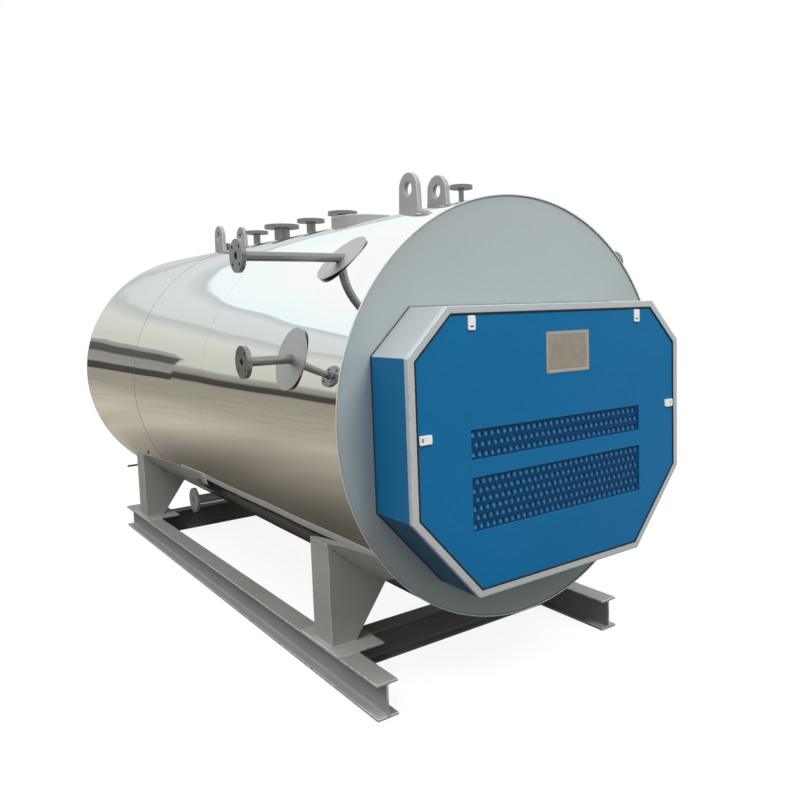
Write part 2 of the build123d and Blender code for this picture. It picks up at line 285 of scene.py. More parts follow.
edgeValues = {"samples": 6, "edgeFacing": (0.995, 0.86), "patchSize": 38.0, "patchDetail": 6.0,
             "patchRange": (0.34, 0.52)}


def makeEdgeWearAndHighlight():  # 1 along worn edges, which are lightened for wear and as a painted highlight, 0 on flat faces, and a normal that rounds the edges
    group, entry, leave = newGroup(
        "edgeWearAndHighlight",
        [("Place", "NodeSocketVector", None), ("Width", "NodeSocketFloat", 0.003),
         ("Amount", "NodeSocketFloat", 0.5)],
        [("Mask", "NodeSocketFloat"), ("Normal", "NodeSocketVector")])
    rounded = addNode(group, "ShaderNodeBevel", samples=edgeValues["samples"])
    group.links.new(entry["Width"], rounded.inputs["Radius"])
    geometry = addNode(group, "ShaderNodeNewGeometry")
    facing = addNode(group, "ShaderNodeVectorMath", operation="DOT_PRODUCT")
    group.links.new(rounded.outputs["Normal"], facing.inputs[0])
    group.links.new(geometry.outputs["Normal"], facing.inputs[1])
    edgeShare = spread(group, facing.outputs["Value"], *edgeValues["edgeFacing"])
    speckle = noise(group, entry["Place"], edgeValues["patchSize"], edgeValues["patchDetail"])
    patches = spread(group, speckle, *edgeValues["patchRange"])
    mask = math(group, "MULTIPLY", math(group, "MULTIPLY", edgeShare, patches), entry["Amount"], clamp=True)
    group.links.new(mask, leave["Mask"])
    group.links.new(rounded.outputs["Normal"], leave["Normal"])
    return group


dustValues = {"upward": (0.35, 1.0), "patchSize": 7.0, "patchDetail": 8.0, "patchRoughness": 0.65,
              "patchRange": (0.35, 0.75)}


def makeSettledDust():  # pale dust on faces that look up, broken by noise
    group, entry, leave = newGroup(
        "settledDust",
        [("Place", "NodeSocketVector", None), ("Amount", "NodeSocketFloat", 0.3)],
        [("Mask", "NodeSocketFloat")])
    geometry = addNode(group, "ShaderNodeNewGeometry")
    upward = spread(group, splitVector(group, geometry.outputs["Normal"])["Z"], *dustValues["upward"])
    drifts = noise(group, entry["Place"], dustValues["patchSize"], dustValues["patchDetail"],
                   dustValues["patchRoughness"])
    patches = spread(group, drifts, *dustValues["patchRange"])
    mask = math(group, "MULTIPLY", math(group, "MULTIPLY", upward, patches), entry["Amount"], clamp=True)
    group.links.new(mask, leave["Mask"])
    return group


skinValues = {"peelDetail": 2.0, "peelRoughness": 0.5, "nibSize": 900.0, "nibDetail": 1.0,
              "nibRange": (0.72, 0.8), "nibHeight": 0.35, "sheenSize": 5.0, "sheenDetail": 5.0}


def makePaintSkin():  # height of sprayed paint, orange peel with a few dust nibs, and an uneven sheen
    group, entry, leave = newGroup(
        "paintSkin",
        [("Place", "NodeSocketVector", None), ("Peel Size", "NodeSocketFloat", 260.0)],
        [("Height", "NodeSocketFloat"), ("Sheen", "NodeSocketFloat")])
    peel = noise(group, entry["Place"], entry["Peel Size"], skinValues["peelDetail"],
                 skinValues["peelRoughness"])
    grains = noise(group, entry["Place"], skinValues["nibSize"], skinValues["nibDetail"])
    nibs = math(group, "MULTIPLY", spread(group, grains, *skinValues["nibRange"]), skinValues["nibHeight"])
    group.links.new(math(group, "ADD", peel, nibs), leave["Height"])
    sheen = noise(group, entry["Place"], skinValues["sheenSize"], skinValues["sheenDetail"])
    group.links.new(sheen, leave["Sheen"])
    return group


lineValues = {"lineSize": 1.0, "lineDetail": 3.0, "lineRoughness": 0.7, "smudgeSize": 2.6,
              "smudgeDetail": 7.0, "smudgeRoughness": 0.6}


def makeRubLines():  # fine lines drawn out along one axis, as polishing or brushing leaves them
    group, entry, leave = newGroup(
        "rubLines",
        [("Place", "NodeSocketVector", None), ("Stretch", "NodeSocketVector", (1.0, 1.0, 1.0))],
        [("Lines", "NodeSocketFloat"), ("Smudge", "NodeSocketFloat")])
    drawn = stretchPlace(group, entry["Place"], entry["Stretch"])
    lines = noise(group, drawn, lineValues["lineSize"], lineValues["lineDetail"], lineValues["lineRoughness"])
    smudge = noise(group, entry["Place"], lineValues["smudgeSize"], lineValues["smudgeDetail"],
                   lineValues["smudgeRoughness"])
    group.links.new(lines, leave["Lines"])
    group.links.new(smudge, leave["Smudge"])
    return group


toneDrift = makeToneDrift()
edgeWearAndHighlight = makeEdgeWearAndHighlight()
settledDust = makeSettledDust()
paintSkin = makePaintSkin()
rubLines = makeRubLines()
print("shader groups ready")


# finishes

def startFinish(name):
    material = bpy.data.materials.new(name)
    material.use_nodes = True
    tree = material.node_tree
    shader = tree.nodes["Principled BSDF"]
    place = addNode(tree, "ShaderNodeTexCoord").outputs["Object"]
    return material, tree, shader, place


paintValues = {"sheenRange": (0.3, 0.7), "dustMatting": 0.3, "peelDistance": 0.0006}


def sprayedPaint(name, look):
    material, tree, shader, place = startFinish(name)
    tone = useGroup(tree, toneDrift, Place=place, Color=(*look["color"], 1), Cloud_Size=look["cloudSize"],
                    Drift=look["drift"])["Color"]
    edgeMarks = useGroup(tree, edgeWearAndHighlight, Place=place, Width=look["edgeWidth"], Amount=look["wearAndHighlight"])
    dust = useGroup(tree, settledDust, Place=place, Amount=look["dust"])["Mask"]
    skin = useGroup(tree, paintSkin, Place=place, Peel_Size=look["peelSize"])
    # edges lightened for wear and as a painted highlight
    wornAndLit = blendColors(tree, edgeMarks["Mask"], tone, (*look["wearAndHighlightColor"], 1))
    dusty = blendColors(tree, dust, wornAndLit, (*look["dustColor"], 1))
    tree.links.new(dusty, shader.inputs["Base Color"])
    shader.inputs["Metallic"].default_value = look["metal"]
    shader.inputs["Specular IOR Level"].default_value = look["sheen"]
    gloss = spread(tree, skin["Sheen"], *paintValues["sheenRange"], *look["gloss"])
    matting = math(tree, "MULTIPLY", dust, paintValues["dustMatting"])
    tree.links.new(math(tree, "ADD", gloss, matting, clamp=True), shader.inputs["Roughness"])
    bump = addNode(tree, "ShaderNodeBump", Strength=look["peel"], Distance=paintValues["peelDistance"])
    tree.links.new(skin["Height"], bump.inputs["Height"])
    tree.links.new(edgeMarks["Normal"], bump.inputs["Normal"])
    tree.links.new(bump.outputs["Normal"], shader.inputs["Normal"])
    return material


greyLook = {"color": (0.325, 0.328, 0.315), "cloudSize": 5.0, "drift": 0.16, "edgeWidth": 0.009,
            "wearAndHighlight": 0.95, "wearAndHighlightColor": (0.80, 0.81, 0.80), "dust": 0.22, "dustColor": (0.42, 0.4, 0.37),
            "peelSize": 240.0, "peel": 0.22, "gloss": (0.38, 0.52), "metal": 0.0, "sheen": 0.5}
nozzleLook = {**greyLook, "color": (0.262, 0.272, 0.275), "drift": 0.08, "metal": 0.8, "gloss": (0.15, 0.22),
              "peel": 0.05, "edgeWidth": 0.002, "wearAndHighlight": 0.5, "wearAndHighlightColor": (0.62, 0.62, 0.61), "dust": 0.04}
# a light bare finish on the drain, lightened further as painted light against the shade under the shell
drainLitLook = {**nozzleLook, "color": (0.80, 0.81, 0.81), "metal": 0.5, "wearAndHighlightColor": (0.95, 0.95, 0.94)}
# painted light: a lighter copy of the grey paint for the legs, standing for the light that falls on them
legLitLook = {**greyLook, "color": (0.40, 0.40, 0.385)}
# painted shade: a darker copy of the grey paint for the cross beams, which lie in shade under the boiler
crossBeamShadeLook = {**greyLook, "color": (0.15, 0.152, 0.147), "wearAndHighlightColor": (0.3, 0.3, 0.29), "wearAndHighlight": 0.6}
silverLook = {**greyLook, "color": (0.55, 0.605, 0.635), "cloudSize": 2.4, "drift": 0.05, "edgeWidth": 0.007,
              "wearAndHighlight": 0.9, "wearAndHighlightColor": (0.93, 0.95, 0.96), "dust": 0.12, "dustColor": (0.55, 0.54, 0.52),
              "peelSize": 320.0, "peel": 0.12, "gloss": (0.30, 0.42), "metal": 0.3}
# painted shade: a darker copy of the frame's silver for the upper casing's slopes
casingShadeLook = {**silverLook, "color": (0.465, 0.495, 0.507), "drift": 0.12, "edgeWidth": 0.003}
plateLook = {**silverLook, "color": (0.385, 0.44, 0.445), "cloudSize": 1.6, "drift": 0.07, "metal": 0.0,
             "edgeWidth": 0.0025, "wearAndHighlight": 0.3, "wearAndHighlightColor": (0.66, 0.67, 0.67)}
blueLook = {**greyLook, "color": (0.0005, 0.145, 0.345), "cloudSize": 2.2, "drift": 0.08, "edgeWidth": 0.002,
            "wearAndHighlight": 0.25, "wearAndHighlightColor": (0.10, 0.27, 0.44), "dust": 0.10, "dustColor": (0.25, 0.32, 0.38),
            "peelSize": 420.0, "peel": 0.14, "gloss": (0.32, 0.44), "sheen": 0.28}
# painted shade: a darker copy of the blue paint for the lower casing, which faces down into shade
lowerCasingShadeLook = {**blueLook, "color": (0.0005, 0.09, 0.20)}
navyLook = {**blueLook, "color": (0.001, 0.05, 0.155), "sheen": 0.15, "wearAndHighlight": 0.15,
            "wearAndHighlightColor": (0.05, 0.12, 0.22)}
baffleLook = {**blueLook, "color": (0.06, 0.25, 0.46), "drift": 0.2, "cloudSize": 9.0}
ironLook = {**greyLook, "color": (0.09, 0.085, 0.08), "wearAndHighlight": 0.1}
clipLook = {**silverLook, "color": (0.86, 0.865, 0.86), "drift": 0.03, "metal": 0.0, "edgeWidth": 0.0025,
            "wearAndHighlight": 0.1, "wearAndHighlightColor": (0.9, 0.9, 0.9), "dust": 0.08, "peelSize": 700.0,
            "gloss": (0.25, 0.35)}
# black for the seals, also used for the pieces that stand as painted shade
blackSealAndShadeLook = {**greyLook, "color": (0.018, 0.018, 0.019), "drift": 0.2, "wearAndHighlight": 0.0, "dust": 0.12,
            "gloss": (0.6, 0.75)}
headSealantLook = {**blackSealAndShadeLook, "color": (0.07, 0.072, 0.074)}
seamSealantLook = {**blackSealAndShadeLook, "color": (0.33, 0.332, 0.33)}
weldLook = {**greyLook, "color": (0.20, 0.205, 0.205), "drift": 0.25, "peel": 0.5, "peelSize": 700.0,
            "wearAndHighlight": 0.2}
# painted highlight: a light colour on the welds at the legs' feet and pads, for the light they catch
footWeldHighlightLook = {**weldLook, "color": (0.56, 0.57, 0.565), "gloss": (0.25, 0.4), "wearAndHighlight": 0.5}
greyPaint = sprayedPaint("greyPaint", greyLook)
nozzlePaint = sprayedPaint("nozzlePaint", nozzleLook)
legLitPaint = sprayedPaint("legLitPaint", legLitLook)
crossBeamShadedPaint = sprayedPaint("crossBeamShadedPaint", crossBeamShadeLook)
drainLitPaint = sprayedPaint("drainLitPaint", drainLitLook)
silverPaint = sprayedPaint("silverPaint", silverLook)
casingShadedPaint = sprayedPaint("casingShadedPaint", casingShadeLook)
platePaint = sprayedPaint("headPlatePaint", plateLook)
bluePaint = sprayedPaint("bluePaint", blueLook)
lowerShadedPaint = sprayedPaint("lowerCasingShadedPaint", lowerCasingShadeLook)
navyPaint = sprayedPaint("navyPaint", navyLook)
bafflePaint = sprayedPaint("bafflePaint", baffleLook)
drumIron = sprayedPaint("drumIron", ironLook)
clipPlastic = sprayedPaint("clipPlastic", clipLook)
blackSealAndShade = sprayedPaint("blackSealAndShade", blackSealAndShadeLook)
greySealant = sprayedPaint("greySealant", headSealantLook)
seamSealant = sprayedPaint("seamSealant", seamSealantLook)
weldMetal = sprayedPaint("paintedWeld", weldLook)
footWeldHighlightMetal = sprayedPaint("footWeldHighlight", footWeldHighlightLook)


metalValues = {"smudgeRange": (0.35, 0.75), "waveDetail": 0.6, "waveRoughness": 0.3, "lineDistance": 0.0004}


def polishedMetal(name, look):
    material, tree, shader, place = startFinish(name)
    shader.inputs["Metallic"].default_value = 1.0
    lines = useGroup(tree, rubLines, Place=place, Stretch=look["stretch"])
    tone = useGroup(tree, toneDrift, Place=place, Color=(*look["color"], 1), Cloud_Size=look["cloudSize"],
                    Drift=look["drift"])["Color"]
    tree.links.new(tone, shader.inputs["Base Color"])
    smudged = spread(tree, lines["Smudge"], *metalValues["smudgeRange"], *look["gloss"])
    drawn = math(tree, "MULTIPLY", lines["Lines"], look["lineGloss"])
    tree.links.new(math(tree, "ADD", smudged, drawn, clamp=True), shader.inputs["Roughness"])
    waves = noise(tree, place, look["waveSize"], metalValues["waveDetail"], metalValues["waveRoughness"])
    roll = addNode(tree, "ShaderNodeBump", Strength=1.0, Distance=look["wave"])
    tree.links.new(waves, roll.inputs["Height"])
    fine = addNode(tree, "ShaderNodeBump", Strength=look["lineDepth"], Distance=metalValues["lineDistance"])
    tree.links.new(lines["Lines"], fine.inputs["Height"])
    tree.links.new(roll.outputs["Normal"], fine.inputs["Normal"])
    tree.links.new(fine.outputs["Normal"], shader.inputs["Normal"])
    return material


claddingLook = {"color": (0.93, 0.945, 0.94), "cloudSize": 1.2, "drift": 0.02,
                "stretch": (900.0, 6.0, 900.0), "gloss": (0.012, 0.03), "lineGloss": 0.012,
                "waveSize": 1.6, "wave": 0.0035, "lineDepth": 0.003}
satinLook = {"color": (0.53, 0.54, 0.54), "cloudSize": 1.2, "drift": 0.05,
             "stretch": (300.0, 40.0, 300.0), "gloss": (0.36, 0.46), "lineGloss": 0.10,
             "waveSize": 6.0, "wave": 0.0006, "lineDepth": 0.05}
plateMetalLook = {"color": (0.60, 0.56, 0.52), "cloudSize": 26.0, "drift": 0.3,
                  "stretch": (14.0, 600.0, 900.0), "gloss": (0.30, 0.42), "lineGloss": 0.14,
                  "waveSize": 8.0, "wave": 0.0004, "lineDepth": 0.12}
rimLook = {**satinLook, "color": (0.78, 0.78, 0.76), "gloss": (0.28, 0.36)}
hemLook = {**rimLook, "color": (0.92, 0.93, 0.93), "gloss": (0.4, 0.5)}
polishedSheetMetal = polishedMetal("polishedSheet", claddingLook)
satinSheetMetal = polishedMetal("satinSheet", satinLook)
plateMetal = polishedMetal("brushedPlate", plateMetalLook)
rimMetal = polishedMetal("brightRim", rimLook)
hemMetal = polishedMetal("rolledHem", hemLook)
print("finishes ready")


def paintNode(name, material):
    node = nodes[name]
    if not node.material_slots:
        node.data.materials.append(material)
    for slot in node.material_slots:
        slot.material = material


nodeFinishes = {
    "hood_cover": bluePaint, "hood_left_side": bluePaint, "hood_right_side": bluePaint,
    "hood_lower_casing": lowerShadedPaint, "hood_upper_casing": casingShadedPaint, "hood_front_frame": silverPaint,
    "front_head_plate": platePaint, "rear_head_plate": platePaint, "vent_baffles": bafflePaint,
    "vent_grille_upper": navyPaint, "vent_grille_lower": navyPaint, "nameplate": plateMetal,
    "cover_clips": clipPlastic, "nozzle_rosettes": satinSheetMetal, "crown_ring": rimMetal,
    "pressure_drum": drumIron, "drain_nozzle": drainLitPaint, "cladding_front": polishedSheetMetal,
    "cladding_middle": polishedSheetMetal, "cladding_rear": polishedSheetMetal,
    "cross_beam_front": crossBeamShadedPaint, "cross_beam_rear": crossBeamShadedPaint,
}
for name in nodes:
    plain = legLitPaint if name.startswith("leg") else greyPaint
    if "nozzle" in name or "plug" in name or "stub" in name:
        plain = nozzlePaint
    paintNode(name, nodeFinishes.get(name, plain))
print("frame pieces painted")


# polished cladding, rolled round, the middle sheet lapped under the outer two

claddingSheets = {"around": 288, "thickness": 0.0009, "lapStep": 0.001}
shellLow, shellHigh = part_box("cladding_front")
shellRadius = (shellHigh.z - shellLow.z) / 2
shellAxis = (shellHigh.z + shellLow.z) / 2
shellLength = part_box("cladding_rear")[1].y - shellLow.y


def claddingSheet(name, node, step):
    low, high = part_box(node)
    sheet = newBar(name, (0, (low.y + high.y) / 2, shellAxis), shellRadius - step, high.y - low.y,
                   claddingSheets["around"], caps="NOTHING")
    applyModifier(sheet, "SOLIDIFY", thickness=claddingSheets["thickness"], offset=-1.0)
    fitOut(sheet, polishedSheetMetal, "polished_stainless", node)


claddingSheet("claddingFrontSheet", "cladding_front", 0)
claddingSheet("claddingMiddleSheet", "cladding_middle", claddingSheets["lapStep"])
claddingSheet("claddingRearSheet", "cladding_rear", 0)
print("cladding rolled")


# perforated vents with round holes, each row shifted half a pitch from the next

ventSheets = {"border": 0.012, "columns": 30, "upperRows": 3, "lowerRows": 6, "holeRadius": 0.0103,
              "holeSides": 16, "punchReach": 4}  # the punch is this many sheet thicknesses long


def ventGrille(name, node, rows):
    low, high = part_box(node)
    middle = (low + high) / 2
    size = high - low
    sheet = newBlock(name, middle, size)
    columns = ventSheets["columns"]
    pitch = (size.x - 2 * ventSheets["border"]) / (columns + 0.5)
    rowPitch = (size.z - 2 * ventSheets["border"]) / rows
    punches = []
    for odd in (0, 1):
        shift = pitch / 4 if odd else -pitch / 4
        x = middle.x + shift - (columns - 1) / 2 * pitch
        z = middle.z - (rows - 1) / 2 * rowPitch + odd * rowPitch
        punch = newBar(name + "Punch", (x, middle.y, z), ventSheets["holeRadius"],
                       ventSheets["punchReach"] * size.y, ventSheets["holeSides"])
        repeatPiece(punch, columns, (pitch, 0, 0))
        repeatPiece(punch, (rows + 1 - odd) // 2, (0, 0, 2 * rowPitch))
        punches.append(punch)
    cutAway(sheet, joinPieces(name + "Punch", punches))
    fitOut(sheet, navyPaint, "dark_blue_paint", node)


ventGrille("ventGrilleUpper", "vent_grille_upper", ventSheets["upperRows"])
ventGrille("ventGrilleLower", "vent_grille_lower", ventSheets["lowerRows"])
print("vents punched")


# nameplate, bare, with a pressed border and four rivets

plateSizes = {"border": 0.009, "press": 0.0008, "corner": 0.004, "cornerSteps": 4, "rivetInset": 0.006,
              "rivetRadius": 0.0028, "rivetHeight": 0.0016, "rivetSides": 16, "rivetRings": 8,
              "fieldMargin": 0.002, "fieldRise": 0.0004}


def plateRivet(place):
    clearSelection()
    bpy.ops.mesh.primitive_uv_sphere_add(
        segments=plateSizes["rivetSides"], ring_count=plateSizes["rivetRings"], radius=1, location=place,
        scale=(plateSizes["rivetRadius"], plateSizes["rivetHeight"], plateSizes["rivetRadius"]))
    rivet = newPiece("plateRivet")
    openPiece(rivet)
    bpy.ops.mesh.select_all(action="SELECT")
    bpy.ops.mesh.bisect(plane_co=place, plane_no=(0, 1, 0), clear_outer=True, use_fill=True)
    closePiece()
    return rivet


def dressNameplate():
    low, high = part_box("nameplate")
    middle = (low + high) / 2
    size = high - low
    plate = newBlock("namePlate", middle, size)
    openPiece(plate)
    pick(plate, "FACE", lambda face: face.normal.y < -squareOn)
    bpy.ops.mesh.inset(thickness=plateSizes["border"], depth=0)
    bpy.ops.mesh.inset(thickness=plateSizes["press"], depth=-plateSizes["press"])
    closePiece()
    roundCorners(plate, plateSizes["corner"], plateSizes["cornerSteps"])
    rivets = []
    inset = plateSizes["rivetInset"]
    for x in (low.x + inset, high.x - inset):
        for z in (low.z + inset, high.z - inset):
            rivets.append(plateRivet((x, low.y, z)))
    margin = plateSizes["border"] + plateSizes["fieldMargin"]
    rise = plateSizes["fieldRise"]
    fieldPlace = (middle.x, low.y + plateSizes["press"] - rise / 2, middle.z)
    field = newBlock("namePlateField", fieldPlace, (size.x - 2 * margin, rise, size.z - 2 * margin))
    roundCorners(field, plateSizes["corner"], plateSizes["cornerSteps"])
    # painted highlight: the border in a lighter metal than the field, for the light that the pressed border
    # catches
    fitOut(plate, rimMetal, "brushed_plate", "nameplate")
    fitOut(field, plateMetal, "brushed_plate")
    fitOut(joinPieces("namePlateRivets", rivets), satinSheetMetal, "brushed_plate")


dressNameplate()
print("nameplate dressed")


# white clips on the cover's edges, rounded, with a slot near the inner end

clipSizes = {"length": 0.048, "width": 0.030, "corner": 0.005, "cornerSteps": 5, "ease": 0.0008,
             "easeSteps": 3, "easeAngle": 50, "slotLength": 0.014, "slotWidth": 0.005, "slotMargin": 0.012,
             "slotDepth": 0.003, "across": 0.408, "slotShade": 0.0012, "slotShadeEase": 0.0003, "slotShadeSteps": 2}


def dressClips():
    low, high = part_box("cover_clips")
    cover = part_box("hood_cover")[0].y
    depth = cover - low.y
    half = clipSizes["length"] / 2
    slotHeight = clipSizes["slotMargin"] - half
    slotShadeMiddle = low.y + clipSizes["slotDepth"] - clipSizes["slotShade"] / 2
    hoodTop = high.z - half
    sideHeight = low.z + clipSizes["width"] / 2
    places = [(-clipSizes["across"], hoodTop, 0), (clipSizes["across"], hoodTop, 0),
              (low.x + half, sideHeight, 90), (high.x - half, sideHeight, -90)]
    clipSize = (clipSizes["width"], depth, clipSizes["length"])
    slotSize = (clipSizes["slotLength"], 2 * clipSizes["slotDepth"], clipSizes["slotWidth"])
    slotShadeSize = (clipSizes["slotLength"], clipSizes["slotShade"], clipSizes["slotWidth"])
    clips = []
    slotShades = []
    for x, z, turn in places:
        clip = newBlock("coverClip", (0, cover - depth / 2, 0), clipSize)
        roundCorners(clip, clipSizes["corner"], clipSizes["cornerSteps"])
        cutAway(clip, newBlock("clipSlot", (0, low.y, slotHeight), slotSize))
        applyModifier(clip, "BEVEL", width=clipSizes["ease"], segments=clipSizes["easeSteps"],
                      limit_method="ANGLE", angle_limit=radians(clipSizes["easeAngle"]))
        # painted shade: a black block sunk in each slot stands for the dark inside of the slot
        slotShade = newBlock("clipSlotShade", (0, slotShadeMiddle, slotHeight), slotShadeSize)
        applyModifier(slotShade, "BEVEL", width=clipSizes["slotShadeEase"], segments=clipSizes["slotShadeSteps"])
        for piece, kept in ((clip, clips), (slotShade, slotShades)):
            piece.rotation_euler = (0, radians(turn), 0)
            piece.location = (x, 0, z)
            takeUp(piece)
            bpy.ops.object.transform_apply(location=True, rotation=True, scale=False)
            kept.append(piece)
    fitOut(joinPieces("coverClips", clips), clipPlastic, "white_plastic", "cover_clips")
    fitOut(joinPieces("clipSlotShades", slotShades), blackSealAndShade, "white_plastic")


dressClips()
print("clips made")


# painted shade in the cover's gap, seals behind the hood, at the heads and in the lap seams, and the sheets'
# rolled hems

sealSizes = {"topRun": 0.158, "bottomRun": 0.258, "stripInset": 0.0238, "stripWidth": 0.0066,
             "stripRise": 0.0026, "stripDepth": 0.003, "hoodLip": 0.002, "hoodWidth": 0.006,
             "hoodDepth": 0.004, "headBead": 0.002, "frontSeamBead": 0.0013, "rearSeamBead": 0.0009,
             "hem": 0.0028}


def octagonPlate(name, grow, front, back):  # a flat plate with the hood's eight-sided outline
    sideLow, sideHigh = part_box("hood_left_side")
    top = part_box("hood_upper_casing")[1].z
    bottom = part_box("hood_lower_casing")[0].z
    half = -sideLow.x
    plate = newBlock(name, (0, (front + back) / 2, (top + bottom) / 2),
                     (2 * (half + grow), back - front, top - bottom + 2 * grow))
    slopes = ((sideHigh.z, top, sealSizes["topRun"]), (sideLow.z, bottom, sealSizes["bottomRun"]))
    openPiece(plate)
    for side, end, run in slopes:
        for hand in (-1, 1):
            outward = Vector((hand * abs(end - side), 0, run if end > side else -run)).normalized()
            corner = Vector((hand * half, 0, side)) + outward * grow
            bpy.ops.mesh.select_all(action="SELECT")
            bpy.ops.mesh.bisect(plane_co=corner, plane_no=outward, clear_outer=True, use_fill=True)
    closePiece()
    return plate


def shadeCoverGap():  # a black strip over the gap between the frame and the cover, painted shade that stands for the dark gap
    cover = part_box("hood_cover")[0].y
    strip = octagonPlate("coverGapShade", 0, cover - sealSizes["stripRise"], cover)
    openPiece(strip)
    pick(strip, "FACE", lambda face: face.normal.y < -squareOn)
    bpy.ops.mesh.inset(thickness=sealSizes["stripInset"], depth=0)
    bpy.ops.mesh.select_all(action="INVERT")
    bpy.ops.mesh.delete(type="FACE")
    bpy.ops.mesh.select_all(action="SELECT")
    bpy.ops.mesh.inset(thickness=sealSizes["stripWidth"], depth=0)
    bpy.ops.mesh.delete(type="FACE")
    bpy.ops.mesh.select_all(action="SELECT")
    bpy.ops.mesh.extrude_region_move(TRANSFORM_OT_translate={"value": (0, sealSizes["stripDepth"], 0)})
    turnOutward()
    closePiece()
    fitOut(strip, blackSealAndShade, "dark_blue_paint")


# a black gasket behind the hood, a little wider than it, so that it also shows as painted shade along the
# hood's edge
def sealHood():
    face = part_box("front_head_plate")[0].y
    seal = octagonPlate("hoodSeal", sealSizes["hoodLip"], face - sealSizes["hoodDepth"], face)
    openPiece(seal)
    pick(seal, "FACE", lambda side: abs(side.normal.y) > squareOn)
    bpy.ops.mesh.inset(thickness=sealSizes["hoodWidth"], depth=0)
    bpy.ops.mesh.delete(type="FACE")
    pick(seal, "EDGE", lambda edge: edge.is_boundary)
    bpy.ops.mesh.bridge_edge_loops()
    turnOutward()
    closePiece()
    fitOut(seal, blackSealAndShade, "dark_blue_paint")


beadSizes = {"around": 8, "rings": 5, "weld": 0.0035, "ripple": 0.0008, "pitch": 0.005, "neckSegments": 44,
             "headSegments": 240, "sealant": 0.0045}
ringTurns = {"x": (0, radians(90), 0), "y": (radians(90), 0, 0), "z": (0, 0, 0)}
ringPlanes = {"x": (1, 2), "y": (0, 2), "z": (0, 1)}  # the two axes that a ring lies in


def ringBead(name, place, axis, radius, thickness, segments, ripple=0.0):
    clearSelection()
    bpy.ops.mesh.primitive_torus_add(location=place, rotation=ringTurns[axis], major_radius=radius,
                                     minor_radius=thickness, major_segments=segments,
                                     minor_segments=beadSizes["around"])
    bead = newPiece(name)
    if ripple:
        first, second = ringPlanes[axis]

        def onCrest(point):
            away = point.co - Vector(place)
            return round(atan2(away[first], away[second]) / (2 * pi) * segments) % 2 == 0
        openPiece(bead)
        pick(bead, "VERT", onCrest)
        bpy.ops.transform.shrink_fatten(value=ripple)
        closePiece()
    return bead


def halveBead(bead, place, outward):  # takes off the half that lies in the sheet behind it
    openPiece(bead)
    bpy.ops.mesh.select_all(action="SELECT")
    bpy.ops.mesh.bisect(plane_co=place, plane_no=outward, clear_inner=True, use_fill=True)
    closePiece()
    return bead


def shellRing(name, y, radius, thickness):  # a bead round the shell
    return ringBead(name, (0, y, shellAxis), "y", radius, thickness, beadSizes["headSegments"])


def neckRing(place, axis, radius):  # a rippled weld round a pipe
    return ringBead("neckWeld", place, axis, radius, beadSizes["weld"], beadSizes["neckSegments"],
                    beadSizes["ripple"])


def beadRow(name, start, end):  # a run of overlapping weld drops
    way = Vector(end) - Vector(start)
    count = round(way.length / beadSizes["pitch"])
    clearSelection()
    bpy.ops.mesh.primitive_uv_sphere_add(segments=beadSizes["around"], ring_count=beadSizes["rings"],
                                         radius=beadSizes["weld"], location=start)
    run = newPiece(name)
    repeatPiece(run, count + 1, way / count)
    return run


def sealHeads():
    beads = []
    radius = shellRadius - claddingSheets["thickness"] - sealSizes["headBead"]
    for node, end, outward in (("front_head_plate", 0, (0, -1, 0)), ("rear_head_plate", 1, (0, 1, 0))):
        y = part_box(node)[end].y
        bead = shellRing("headBead", y, radius, sealSizes["headBead"])
        beads.append(halveBead(bead, (0, y, shellAxis), outward))
    fitOut(joinPieces("headSealant", beads), greySealant, "grey_paint", angle=beadAngle)


def sealSeams():  # a bead in each lap seam, the front one thicker
    radius = shellRadius - claddingSheets["lapStep"]
    beads = [shellRing("seamBead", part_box("cladding_front")[1].y, radius, sealSizes["frontSeamBead"]),
             shellRing("seamBead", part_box("cladding_rear")[0].y, radius, sealSizes["rearSeamBead"])]
    fitOut(joinPieces("seamSealant", beads), seamSealant, "grey_paint", angle=beadAngle)


def rollHems():  # the rolled edges of the outer two sheets
    radius = shellRadius - sealSizes["hem"] / 2
    hems = [shellRing("claddingHem", y, radius, sealSizes["hem"])
            for y in (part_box("cladding_front")[0].y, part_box("cladding_rear")[1].y)]
    fitOut(joinPieces("claddingHems", hems), hemMetal, "polished_stainless", angle=beadAngle)


shadeCoverGap()
sealHood()
sealHeads()
sealSeams()
rollHems()
print("seals laid")


# welds behind the flanges, at the legs' feet and the lugs, and sealant where the necks leave the cladding

crownNecks = {"feed_water_nozzle": (0.0212, 0.018), "steam_outlet_nozzle": (0.0445, 0.020),
              "first_safety_valve_nozzle": (0.0242, 0.018), "second_safety_valve_nozzle": (0.0242, 0.018),
              "gauge_nozzle": (0.0107, 0.014)}  # radius of the pipe and thickness of its flange
levelNeck = (0.0169, 0.016)
drainNeck = (0.0302, 0.018)
drainFlangeRadius = 0.0825
bothEnds = ("front", "rear")
hands = {"left": -1, "right": 1}


